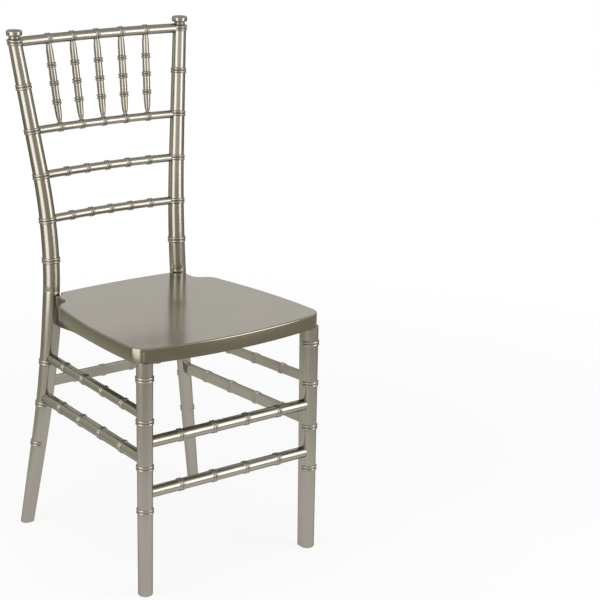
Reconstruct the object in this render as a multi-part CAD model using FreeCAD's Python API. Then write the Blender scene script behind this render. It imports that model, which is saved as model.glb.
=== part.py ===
import FreeCAD, Part
import math
import os

Vector = FreeCAD.Vector

# A chiavari chair: two bent back posts, two front legs, ladder rails and spindles in the back,
# seven stretchers and a moulded seat on a hidden frame.
# Front is -Y, up is +Z, and the origin is on the floor under the middle of the seat.
# All sizes are in millimetres.

# Back posts, given for the right-hand one: the axis is three straight runs joined by two long bends
post_foot = Vector(188.5, 191.0, 0.0)
lower_bend_at = Vector(142.0, 165.0, 335.0)
upper_bend_at = Vector(132.0, 168.5, 553.0)
top_ring_at = Vector(173.0, 213.8, 897.0)
lower_bend_half_length = 175.0
upper_bend_half_length = 117.0
post_foot_radius = 11.3
post_knee_height = 250.0
post_knee_radius = 13.0
post_seat_radius = 15.0
post_waist_height = 506.0
post_waist_radius = 14.8
post_top_radius = 11.6
post_ring_heights = (157.5, 234.0, 314.5, 506.0, 579.7, 659.8, 740.6, 819.1, 897.0)
corner_top_height = 414.0
leg_corner_chamfer = 1.5
bead_end_width = 0.8
bead_groove_share = 0.3

# Finial on top of each post. It stands upright with the top ring, although the post leans
neck_radius = 9.4
neck_height = 11.0
neck_bead_height = 7.2
neck_bead_radius = 10.4
neck_bead_half_length = 1.4
cap_radius = 14.2
cap_height = 11.0
cap_edge_round = 3.0
cap_crown_height = 0.9
cap_crown_radius = 5.0

# Front legs
front_leg_foot = Vector(174.9, -200.0, 0.0)
front_leg_top_x = 173.3
front_leg_foot_radius = 12.5
front_leg_top_radius = 14.0
front_leg_ring_heights = (156.1, 234.7, 316.5, 392.2)
leg_head_radius = 10.5
leg_shoulder_rise = 1.0
leg_top_clearance = 0.1
foot_edge_round = 2.0

# Sides of the round sections, drawn as regular many-sided figures to keep the model light
post_sides = 16
rail_sides = 10
spindle_sides = 8
stretcher_half_sides = 5
post_bend_stations = (365.0, 460.0, 543.0, 620.0)
flatness = 0.0001

# Rings: every ring is a pair of beads with a groove between
post_bead_pitch = 5.2
post_bead_height = 1.7
stretcher_bead_pitch = 5.6
stretcher_bead_height = 1.5
rail_bead_pitch = 5.0
rail_bead_height = 1.6
spindle_bead_pitch = 4.4
spindle_bead_height = 1.9

# Back rails: height, radius, spacing of the five rings and how far the middle bows back
crest_rail_height = 897.4
crest_rail_radius = 8.2
crest_ring_spacing = 51.1
crest_bow = 13.0
spindle_rail_height = 740.8
spindle_rail_radius = 7.0
spindle_rail_ring_spacing = 46.4
spindle_rail_bow = 11.0
middle_rail_height = 660.0
middle_rail_radius = 6.2
middle_rail_ring_spacing = 43.6
middle_rail_bow = 11.0
lower_rail_height = 581.0
lower_rail_radius = 6.3
lower_rail_ring_spacing = 42.1
lower_rail_bow = 10.0
rail_ring_count = 5

# Spindles between the crest rail and the spindle rail
spindle_top_radius = 4.8
spindle_shoulder_radius = 6.3
spindle_shoulder_length = 14.0
spindle_ring_radius = 6.3
spindle_belly_radius = 6.6
spindle_calf_radius = 5.1
spindle_calf_length = 15.0
spindle_bottom_radius = 2.8
spindle_end_length = 2.0
spindle_ring_heights = (850.4, 817.6, 784.5)

# Stretchers: half round on the outside and flat on the inside
front_upper_height = 278.6
front_lower_height = 188.2
side_upper_height = 324.0
side_lower_height = 249.0
rear_height = 276.0
front_stretcher_radius = 9.3
side_upper_radius = 7.8
side_lower_radius = 9.3
rear_stretcher_radius = 9.2
stretcher_inner_depth = 6.5
stretcher_ring_count = 4
front_ring_spacing = 68.6

# Joints: round tenons in blind mortises
stretcher_tenon_radius = 5.0
stretcher_tenon_length = 8.0
side_tenon_radius = 4.0
side_tenon_length = 4.8
side_tenon_root = 30.0
rail_tenon_radius = 4.0
rail_tenon_length = 7.0
spindle_tenon_radius = 2.2
spindle_tenon_length = 4.5
spindle_tenon_root = 6.0
spindle_end_share = 0.6
tenon_clearance = 0.1
mortise_end_clearance = 0.5

# Seat
seat_front_height = 447.3
seat_drop_to_rear = 4.2
seat_plate_thickness = 5.0
seat_skirt_height = 25.5
seat_wall_thickness = 3.0
seat_edge_round = 2.5
seat_front_middle_y = -232.5
seat_front_corner_x = 166.0
seat_front_corner_y = -216.5
seat_corner_bulge = Vector(188.2, -207.0, 0.0)
seat_side_front = Vector(196.5, -180.0, 0.0)
seat_side_middle = Vector(187.6, -60.0, 0.0)
seat_side_rear = Vector(171.3, 80.0, 0.0)
seat_rear_middle_y = 171.0
seat_post_gap = 3.6
seat_wrap_start = 2.0
seat_notch_outset = 2.0
seat_notch_straight = 26.0
seat_hollow_middle = Vector(3.9, -12.6, 0.0)
seat_hollow_end = Vector(12.4, -18.7, 0.0)
seat_ear_middle = Vector(13.4, -8.2, 0.0)
outline_turn = 15.0
outline_side = 45.0
seat_rib_thickness = 2.0
seat_rib_height = 7.0
seat_rib_spacing = 90.0
seat_rib_row_shift = -31.0
seat_rib_end_gap = 1.0

# Seat frame under the shell: deep side rails between the legs and shallow cross rails
frame_rail_width = 14.0
cross_frame_rail_height = 18.0
side_frame_rail_height = 43.5
frame_rail_clearance = 0.3
front_frame_rail_y = -191.0
side_frame_front_x = 167.0
side_frame_lap = 1.0
side_frame_rear_inset = 8.6
rear_frame_rail_y = 128.0
haunch_depth = 5.5
haunch_length = 34.0
haunch_flat = 3.0
haunch_sag_share = 0.3
boss_radius = 4.0
boss_height = 8.0
boss_clearance = 0.2
boss_hole_past = 1.5
screw_radius = 2.0
screw_head_radius = 3.8
screw_head_height = 2.6
screw_length = 16.0
screw_clearance = 0.1
screw_neck = 0.3
screw_sides = 8
screw_offset_x = 100.0

TOP_VIEW = Vector(0, 0, 1)


def mirrored(shape):
    """The same piece on the other side of the chair"""
    return shape.mirror(Vector(0, 0, 0), Vector(1, 0, 0))


def slope(low, high):
    """Sideways travel for each millimetre of height between two points"""
    rise = high.z - low.z
    return Vector((high.x - low.x) / rise, (high.y - low.y) / rise, 1.0)


def post_axis(height):
    """Centre of the right back post at a height"""
    low = slope(post_foot, lower_bend_at)
    middle = slope(lower_bend_at, upper_bend_at)
    high = slope(upper_bend_at, top_ring_at)
    point = post_foot + low * height
    bends = (
        (lower_bend_at.z, lower_bend_half_length, middle - low),
        (upper_bend_at.z, upper_bend_half_length, high - middle),
    )
    for bend_height, half_length, change in bends:
        past = height - (bend_height - half_length)
        if past > 2 * half_length:
            point = point + change * (height - bend_height)
        elif past > 0:
            point = point + change * (past * past / (4 * half_length))
    return Vector(point.x, point.y, height)


def post_direction(height):
    """Direction of the right back post at a height"""
    step = 0.5
    return (post_axis(height + step) - post_axis(height - step)).normalize()


def between(value, table):
    """Straight-line interpolation in rising pairs"""
    for (low, first), (high, second) in zip(table, table[1:]):
        if value <= high:
            part = (value - low) / (high - low)
            return first + (second - first) * part
    return table[-1][1]


def post_radius(height):
    """Radius of the back post, thickest at the seat and tapered both ways"""
    table = (
        (0.0, post_foot_radius),
        (post_knee_height, post_knee_radius),
        (corner_top_height, post_seat_radius),
        (post_waist_height, post_waist_radius),
        (top_ring_at.z, post_top_radius),
    )
    return between(height, table)


def front_leg_radius(height):
    """Radius of the front leg"""
    table = ((0.0, front_leg_foot_radius), (seat_front_height, front_leg_top_radius))
    return between(height, table)


def front_leg_axis(height):
    """Centre of the right front leg at a height"""
    part = height / seat_front_height
    x = front_leg_foot.x + (front_leg_top_x - front_leg_foot.x) * part
    return Vector(x, front_leg_foot.y, height)


def bead_points(position, radius, pitch, height):
    """Outline of one ring, as distances along an axis and out from it"""
    return [
        (position - pitch, radius),
        (position - pitch / 2, radius + height),
        (position, radius + height * bead_groove_share),
        (position + pitch / 2, radius + height),
        (position + pitch, radius),
    ]


def square_to(direction, helper):
    """Unit vector square to a direction, on the side of a helper"""
    way = FreeCAD.Vector(direction).normalize()
    return (helper - way * helper.dot(way)).normalize()


def round_section(centre, direction, helper, radius, sides):
    """Many-sided round section"""
    across = square_to(direction, helper)
    other = FreeCAD.Vector(direction).normalize().cross(across)
    corners = []
    for index in range(sides):
        angle = 2 * math.pi * (index + 0.5) / sides
        corners.append(centre + across * (radius * math.cos(angle)) + other * (radius * math.sin(angle)))
    return corners


def flat_sided(sections):
    """Solid with flat sides through sections of corners, each section after the one before it"""
    faces = [flat_face(sections[0]), flat_face(sections[-1])]
    for low, high in zip(sections, sections[1:]):
        for index, corner in enumerate(low):
            after = (index + 1) % len(low)
            normal = (low[after] - corner).cross(high[index] - corner).normalize()
            if abs(normal.dot(high[after] - corner)) < flatness:
                faces.append(flat_face([corner, low[after], high[after], high[index]]))
            else:
                faces.append(flat_face([corner, low[after], high[after]]))
                faces.append(flat_face([corner, high[after], high[index]]))
    shell = Part.makeShell(faces)
    shell.sewShape()
    solid = Part.makeSolid(shell)
    if solid.Volume < 0:
        solid.reverse()
    return solid


def flat_face(corners):
    """Flat face with straight edges"""
    return Part.Face(Part.makePolygon(corners + [corners[0]]))


def ruled(sections):
    """Solid with ruled sides through sections of corners"""
    return Part.makeLoft([Part.makePolygon(corners + [corners[0]]) for corners in sections], True, True)


def cornered_section(centre, direction, inward, radius, bead):
    """Leg section: round outside, where a bead can stand proud, and a square corner inwards"""
    across = square_to(direction, Vector(inward.x, 0, 0))
    other = square_to(direction, Vector(0, inward.y, 0))
    corners = []
    arc_sides = post_sides * 3 // 4
    for index in range(arc_sides + 1):
        angle = math.radians(90.0 + 270.0 * index / arc_sides)
        reach = radius + bead
        corners.append(centre + across * (reach * math.cos(angle)) + other * (reach * math.sin(angle)))
    corners.append(centre + across * radius + other * bead_end_width)
    corners.append(centre + across * radius + other * (radius - leg_corner_chamfer))
    corners.append(centre + across * (radius - leg_corner_chamfer) + other * radius)
    corners.append(centre + across * bead_end_width + other * radius)
    return corners


def turned(points, start, direction, sides):
    """Many-sided turning about a straight axis, from pairs of distance along it and radius"""
    way = FreeCAD.Vector(direction).normalize()
    helper = Vector(0, 0, 1) if abs(way.z) < 0.9 else Vector(1, 0, 0)
    return flat_sided([round_section(start + way * along, way, helper, radius, sides) for along, radius in points])


def ring_stations(heights, radius_at):
    """Height, radius and bead height of the five sections of each ring"""
    stations = []
    for height in heights:
        radius = radius_at(height)
        for along, reach in bead_points(0.0, radius, post_bead_pitch, post_bead_height):
            stations.append((height + along, radius, reach - radius))
    return stations


def back_post():
    """Right back post, from the foot to the finial, with its ring beads"""
    inward = Vector(-1, -1, 0)
    low_rings = [height for height in post_ring_heights if height < corner_top_height]
    high_rings = [height for height in post_ring_heights if height > corner_top_height]
    low = ring_stations(low_rings, post_radius)
    high = ring_stations(high_rings, post_radius)
    for height in post_bend_stations:
        stations = low if height < corner_top_height else high
        stations.append((height, post_radius(height), 0.0))
    low.append((corner_top_height, post_radius(corner_top_height), 0.0))
    high.append((corner_top_height, post_radius(corner_top_height), 0.0))
    foot_at = post_axis(foot_edge_round)
    sections = [
        cornered_section(post_axis(0.0), TOP_VIEW, inward, post_foot_radius - foot_edge_round, 0.0),
        cornered_section(foot_at, TOP_VIEW, inward, post_foot_radius, 0.0),
    ]
    for height, radius, bead in sorted(low):
        sections.append(cornered_section(post_axis(height), post_direction(height), inward, radius, bead))
    lower = ruled(sections)
    side = Vector(1, 0, 0)
    upright_from = top_ring_at.z - post_bead_pitch
    sections = []
    for height, radius, bead in sorted(high):
        direction = TOP_VIEW if height >= upright_from else post_direction(height)
        sections.append(round_section(post_axis(height), direction, side, radius + bead, post_sides))
    top = post_axis(top_ring_at.z + post_bead_pitch)
    for rise, radius in finial_points():
        place = Vector(top.x, top.y, top_ring_at.z + rise)
        sections.append(round_section(place, TOP_VIEW, side, radius, post_sides))
    return lower.fuse(ruled(sections))


def finial_points():
    """Outline of the neck with one bead and of the flattened cap: rise above the top ring and radius"""
    points = [
        (neck_bead_height - neck_bead_half_length, neck_radius),
        (neck_bead_height, neck_bead_radius),
        (neck_bead_height + neck_bead_half_length, neck_radius),
    ]
    centre = cap_radius - cap_edge_round
    for degrees in (-90, -45, 0):
        angle = math.radians(degrees)
        rise = neck_height + cap_edge_round * (1 + math.sin(angle))
        points.append((rise, centre + cap_edge_round * math.cos(angle)))
    cap_shoulder = neck_height + cap_height - cap_crown_height - cap_edge_round
    for degrees in (0, 45, 90):
        angle = math.radians(degrees)
        rise = cap_shoulder + cap_edge_round * math.sin(angle)
        points.append((rise, centre + cap_edge_round * math.cos(angle)))
    points.append((neck_height + cap_height, cap_crown_radius))
    return points


def front_leg():
    """Right front leg: turned outside with rings, square corner inside, and a spigot into the seat"""
    inward = Vector(-1, 1, 0)
    head_at = skirt_bottom_height(front_leg_foot.y) + leg_shoulder_rise
    top = plate_underside_height(front_leg_foot.y + leg_head_radius) - leg_top_clearance
    stations = [
        (0.0, front_leg_foot_radius - foot_edge_round, 0.0),
        (foot_edge_round, front_leg_foot_radius, 0.0),
        (head_at, front_leg_radius(head_at), 0.0),
        (head_at + leg_shoulder_rise, leg_head_radius, 0.0),
        (top, leg_head_radius, 0.0),
    ]
    stations += ring_stations(front_leg_ring_heights, front_leg_radius)
    sections = []
    for height, radius, bead in sorted(stations):
        sections.append(cornered_section(front_leg_axis(height), TOP_VIEW, inward, radius, bead))
    return flat_sided(sections)


def seat_fall():
    """Fall of the seat for each millimetre towards the back"""
    return seat_drop_to_rear / (seat_rear_middle_y - seat_front_middle_y)


def seat_top_height(y):
    """Height of the seat's top at a distance from the middle"""
    return seat_front_height - (y - seat_front_middle_y) * seat_fall()


def plate_underside_height(y):
    """Height of the underside of the seat plate"""
    return seat_top_height(y) - seat_plate_thickness


def skirt_bottom_height(y):
    """Height of the lower edge of the seat's skirt"""
    return seat_top_height(y) - seat_skirt_height


def tilt_with_seat(shape):
    """Moves a shape drawn under a level seat top at zero to its place on the chair"""
    pivot = Vector(0, seat_front_middle_y, 0)
    moved = shape.copy()
    moved.rotate(pivot, Vector(1, 0, 0), -math.degrees(math.atan(seat_fall())))
    moved.translate(Vector(0, 0, seat_front_height))
    return moved


def stretcher(start, end, radius, outward, ring_positions):
    """Rail of D section: half round outwards and flat inwards, with beads across its top, side and bottom"""
    axis = end - start
    along = FreeCAD.Vector(axis).normalize()
    side = square_to(along, outward)
    up = square_to(along, TOP_VIEW)
    outline = [(0.0, radius)]
    for position in ring_positions:
        outline += bead_points(position, radius, stretcher_bead_pitch, stretcher_bead_height)
    outline.append((axis.Length, radius))
    sections = []
    for distance, reach in outline:
        centre = start + along * distance
        corners = []
        for index in range(stretcher_half_sides + 1):
            angle = math.pi * (0.5 - index / stretcher_half_sides)
            corners.append(centre + side * (reach * math.cos(angle)) + up * (reach * math.sin(angle)))
        corners.append(centre - side * stretcher_inner_depth - up * reach)
        corners.append(centre - side * stretcher_inner_depth + up * reach)
        sections.append(corners)
    return flat_sided(sections)


def even_positions(length, count, spacing=None):
    """Places of evenly spaced rings along a rail, centred on it"""
    gap = spacing if spacing else length / (count + 1)
    first = length / 2 - gap * (count - 1) / 2
    return [first + gap * index for index in range(count)]


def pin(start, direction, radius, length, sides=8):
    """Many-sided bar"""
    helper = Vector(0, 0, 1) if abs(direction.z) < 0.9 else Vector(1, 0, 0)
    section = round_section(start, direction, helper, radius, sides)
    return flat_face(section).extrude(FreeCAD.Vector(direction).normalize() * length)


def bowed_rail(height, radius, bow, spacing):
    """Round back rail that bows back between the posts, with its rings"""
    right = post_axis(height)
    bend_radius = (right.x ** 2 + bow ** 2) / (2 * bow)
    pivot = Vector(0, right.y + bow - bend_radius, height)
    outline = [(-right.x, radius)]
    for index in range(rail_ring_count):
        x = (index - (rail_ring_count - 1) / 2) * spacing
        outline += bead_points(x, radius, rail_bead_pitch, rail_bead_height)
    outline.append((right.x, radius))
    sections = []
    for x, reach in outline:
        centre = rail_point(x, height, bow)
        direction = TOP_VIEW.cross(centre - pivot) * -1
        sections.append(round_section(centre, direction, TOP_VIEW, reach, rail_sides))
    return flat_sided(sections)


def rail_point(x, height, bow):
    """Point on the axis of a bowed back rail"""
    end = post_axis(height)
    bend_radius = (end.x ** 2 + bow ** 2) / (2 * bow)
    y = end.y + bow - bend_radius + math.sqrt(bend_radius ** 2 - x ** 2)
    return Vector(x, y, height)


def spindle(index):
    """Turned spindle with three rings, thin at both ends"""
    offset = index - (rail_ring_count - 1) / 2
    top = rail_point(offset * crest_ring_spacing, crest_rail_height, crest_bow)
    bottom = rail_point(offset * spindle_rail_ring_spacing, spindle_rail_height, spindle_rail_bow)
    axis = bottom - top
    direction = FreeCAD.Vector(axis).normalize()
    per_height = axis.Length / (top.z - bottom.z)
    places = [(top.z - height) * per_height for height in spindle_ring_heights]
    outline = [
        (crest_rail_radius * spindle_end_share, spindle_top_radius),
        (crest_rail_radius + spindle_end_length, spindle_top_radius),
        (crest_rail_radius + spindle_shoulder_length, spindle_shoulder_radius),
    ]
    for number, place in enumerate(places):
        outline += bead_points(place, spindle_ring_radius, spindle_bead_pitch, spindle_bead_height)
        if number < len(places) - 1:
            outline.append(((place + places[number + 1]) / 2, spindle_belly_radius))
    outline.append((axis.Length - spindle_rail_radius - spindle_calf_length, spindle_calf_radius))
    outline.append((axis.Length - spindle_rail_radius - spindle_end_length, spindle_bottom_radius))
    outline.append((axis.Length - spindle_rail_radius * spindle_end_share, spindle_bottom_radius))
    return turned(outline, top, direction, spindle_sides), top, bottom, direction


def seat_outline():
    """Outer edge of the seat seen from above, as one closed wire"""
    post = post_axis(seat_front_height)
    wrap = post_seat_radius + seat_post_gap
    rear_start = Vector(post.x - math.sqrt(wrap ** 2 - seat_wrap_start ** 2), post.y - seat_wrap_start, 0)
    diagonal = wrap * math.sqrt(0.5)
    wrap_middle = Vector(post.x - diagonal, post.y - diagonal, 0)
    notch_x = post.x + seat_notch_outset
    wrap_end = Vector(notch_x, post.y - math.sqrt(wrap ** 2 - seat_notch_outset ** 2), 0)
    notch_front = wrap_end + Vector(0, -seat_notch_straight, 0)
    hollow_end = notch_front + seat_hollow_end
    hollow_middle = notch_front + seat_hollow_middle
    ear_middle = hollow_end + seat_ear_middle
    front_corner = Vector(seat_front_corner_x, seat_front_corner_y, 0)

    right = arc_corners(rear_start, wrap_middle, wrap_end)
    right += [wrap_end]
    right += arc_corners(notch_front, hollow_middle, hollow_end)
    right += arc_corners(hollow_end, ear_middle, seat_side_rear)
    right += arc_corners(seat_side_rear, seat_side_middle, seat_side_front)
    right += arc_corners(seat_side_front, seat_corner_bulge, front_corner)
    left = [opposite(corner) for corner in right[1:] + [front_corner]]
    left.reverse()
    front = arc_corners(front_corner, Vector(0, seat_front_middle_y, 0), opposite(front_corner))
    rear = arc_corners(opposite(rear_start), Vector(0, seat_rear_middle_y, 0), rear_start)
    return rear + right + front + left


def opposite(point):
    """The same point on the other side of the chair"""
    return Vector(-point.x, point.y, point.z)


def arc_corners(start, middle, end):
    """Corners of the straight sides that stand for an arc, without its last point"""
    edge = Part.Arc(start, middle, end).toShape()
    turn = edge.Length / edge.Curve.Radius
    steps = max(math.ceil(turn / math.radians(outline_turn)), math.ceil(edge.Length / outline_side))
    return edge.discretize(steps + 1)[:-1]


def inset(corners, distance, height):
    """Outline drawn inside another at an even distance, at a height"""
    result = []
    for index, corner in enumerate(corners):
        before = (corner - corners[index - 1]).normalize()
        after = (corners[(index + 1) % len(corners)] - corner).normalize()
        first = Vector(before.y, -before.x, 0)
        second = Vector(after.y, -after.x, 0)
        move = (first + second) * (distance / (1 + first.dot(second)))
        result.append(Vector(corner.x + move.x, corner.y + move.y, height))
    return result


def clockwise(corners):
    """True when the outline runs clockwise seen from above"""
    area = 0.0
    for index, corner in enumerate(corners):
        area += corners[index - 1].x * corner.y - corner.x * corners[index - 1].y
    return area < 0


def side_frame_ends():
    """Ends of the right side rail of the seat frame, at the seat plate's underside"""
    post = post_axis(seat_front_height)
    leg_back = front_leg_foot.y + front_leg_top_radius
    front = Vector(side_frame_front_x, leg_back - side_frame_lap, -seat_plate_thickness)
    rear = Vector(post.x - side_frame_rear_inset, post.y, -seat_plate_thickness)
    return front, rear


def side_frame_rail(spare=0.0):
    """Right side rail of the seat frame, with a deeper haunch at the back post, drawn under a level top"""
    front, rear = side_frame_ends()
    along = (rear - front).normalize()
    across = along.cross(TOP_VIEW).normalize()
    length = (rear - front).Length
    depth = side_frame_rail_height + spare
    width = frame_rail_width + 2 * spare
    haunch = length - post_seat_radius - haunch_length - spare
    points = [
        (0.0, 0.0),
        (length, 0.0),
        (length, -depth - haunch_depth),
        (length - post_seat_radius - haunch_flat, -depth - haunch_depth),
    ]
    corners = [front + along * distance + TOP_VIEW * height for distance, height in points]
    sag = haunch_depth * haunch_sag_share
    curve_middle = front + along * (haunch + haunch_length / 2) - TOP_VIEW * (depth + sag)
    curve_end = front + along * haunch - TOP_VIEW * depth
    last = front - TOP_VIEW * depth
    edges = [Part.makeLine(corners[0], corners[1]), Part.makeLine(corners[1], corners[2])]
    edges.append(Part.makeLine(corners[2], corners[3]))
    edges.append(Part.Arc(corners[3], curve_middle, curve_end).toShape())
    edges.append(Part.makeLine(curve_end, last))
    edges.append(Part.makeLine(last, corners[0]))
    face = Part.Face(Part.Wire(edges))
    face.translate(across * (-width / 2))
    return face.extrude(across * width)


def cross_frame_rail(y, half_length):
    """Front or rear rail of the seat frame, drawn under a level top"""
    corner = Vector(-half_length, y - frame_rail_width / 2, -seat_plate_thickness - cross_frame_rail_height)
    return Part.makeBox(2 * half_length, frame_rail_width, cross_frame_rail_height, corner)


def screw_places():
    """Where the right-hand seat screws stand, one on each cross rail"""
    return [Vector(screw_offset_x, y, -seat_plate_thickness) for y in (front_frame_rail_y, rear_frame_rail_y)]


def both_sides(points):
    """The points and their mirror images"""
    return points + [opposite(point) for point in points]


def seat_shell():
    """Moulded seat: plate, skirt, ribs and screw bosses, drawn under a level top"""
    outline = seat_outline()
    if not clockwise(outline):
        outline.reverse()
    blank = flat_sided([
        inset(outline, 0.0, -seat_skirt_height),
        inset(outline, 0.0, -seat_edge_round),
        inset(outline, seat_edge_round * 0.3, -seat_edge_round * 0.3),
        inset(outline, seat_edge_round, 0.0),
    ])
    hollow = flat_face(inset(outline, seat_wall_thickness, -seat_plate_thickness))
    shell = blank.cut(hollow.extrude(Vector(0, 0, -seat_skirt_height)))
    shell = shell.multiFuse(seat_ribs() + seat_bosses())
    for place in both_sides(screw_places()):
        low = place + Vector(0, 0, -boss_height)
        shell = shell.cut(pin(low, TOP_VIEW, screw_radius + screw_clearance, screw_depth_in_boss()))
    window = side_frame_rail(frame_rail_clearance)
    return shell.cut(Part.makeCompound([window, mirrored(window)])).removeSplitter()


def seat_ribs():
    """Ribs under the plate, between the four rails of the seat frame"""
    front, rear = side_frame_ends()
    front_y = front_frame_rail_y + frame_rail_width / 2 + seat_rib_end_gap
    rear_y = rear_frame_rail_y - frame_rail_width / 2 - seat_rib_end_gap
    front_x = front.x - frame_rail_width
    rear_x = rear.x - frame_rail_width
    corners = [
        Vector(-front_x, front_y, 0),
        Vector(front_x, front_y, 0),
        Vector(rear_x, rear_y, 0),
        Vector(-rear_x, rear_y, 0),
    ]
    bay = flat_face(corners).extrude(Vector(0, 0, -seat_rib_height))
    bay.translate(Vector(0, 0, -seat_plate_thickness))
    low = -seat_plate_thickness - seat_rib_height
    half = seat_rib_thickness / 2
    ribs = []
    for index in (-1, 0, 1):
        place = index * seat_rib_spacing
        start = Vector(place - half, front_y, low)
        along = Part.makeBox(seat_rib_thickness, rear_y - front_y, seat_rib_height, start)
        row = place + seat_rib_row_shift - half
        across = Part.makeBox(2 * front_x, seat_rib_thickness, seat_rib_height, Vector(-front_x, row, low))
        ribs += [along.common(bay), across.common(bay)]
    return ribs


def seat_bosses():
    """Round bosses under the plate that the screws bite in"""
    return [pin(place, Vector(0, 0, -1), boss_radius, boss_height) for place in both_sides(screw_places())]


def screw_depth_in_boss():
    """Depth of the pilot hole in a boss"""
    return boss_height + boss_hole_past


def seat_screw(place):
    """Round-head screw driven up through the frame rail, drawn under a level top"""
    head_seat = place + Vector(0, 0, -cross_frame_rail_height)
    points = [
        (-screw_head_height, screw_head_radius * 0.55),
        (-screw_head_height * 0.55, screw_head_radius * 0.92),
        (0.0, screw_head_radius),
        (screw_neck, screw_radius),
        (screw_length, screw_radius),
    ]
    return turned(points, head_seat, TOP_VIEW, screw_sides)


def middle_of_depth():
    """Middle of the chair's depth, from the seat's front edge to the back of the crest rail"""
    back = rail_point(0.0, crest_rail_height, crest_bow).y + crest_rail_radius + rail_bead_height
    return (seat_front_middle_y + back) / 2


def save(name, shape):
    """Writes one piece, moved so that the origin is under the middle of the chair's box"""
    shape = shape.copy()
    shape.translate(Vector(0, -middle_of_depth(), 0))
    solids = shape.Solids
    whole = solids[0] if len(solids) == 1 else Part.makeCompound(solids)
    if not whole.isValid():
        print("check", name)
    whole.exportStep(os.path.join("parts", name + ".step"))
    print(name, len(solids), round(sum(solid.Volume for solid in solids) / 1000.0, 2), "cm3")


def joined(piece, neighbours, tenons):
    """Copes a piece against its neighbours and gives it its tenons"""
    shaped = piece.cut(neighbours)
    largest = max(shaped.Solids, key=lambda solid: solid.Volume)
    return largest.multiFuse([pin(*tenon) for tenon in tenons])


def tenon_at(point, direction, inside, radius, length, root, sides=4):
    """Tenon that enters a neighbour: it starts in the piece and ends a set length past the shoulder"""
    way = FreeCAD.Vector(direction).normalize()
    shoulder = point - way * inside
    return shoulder - way * root, way, radius, length + root, sides


def mortise_for(tenon):
    """Blind hole for a tenon"""
    start, way, radius, length, sides = tenon
    return pin(start, way, radius + tenon_clearance, length + mortise_end_clearance, sides)


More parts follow.
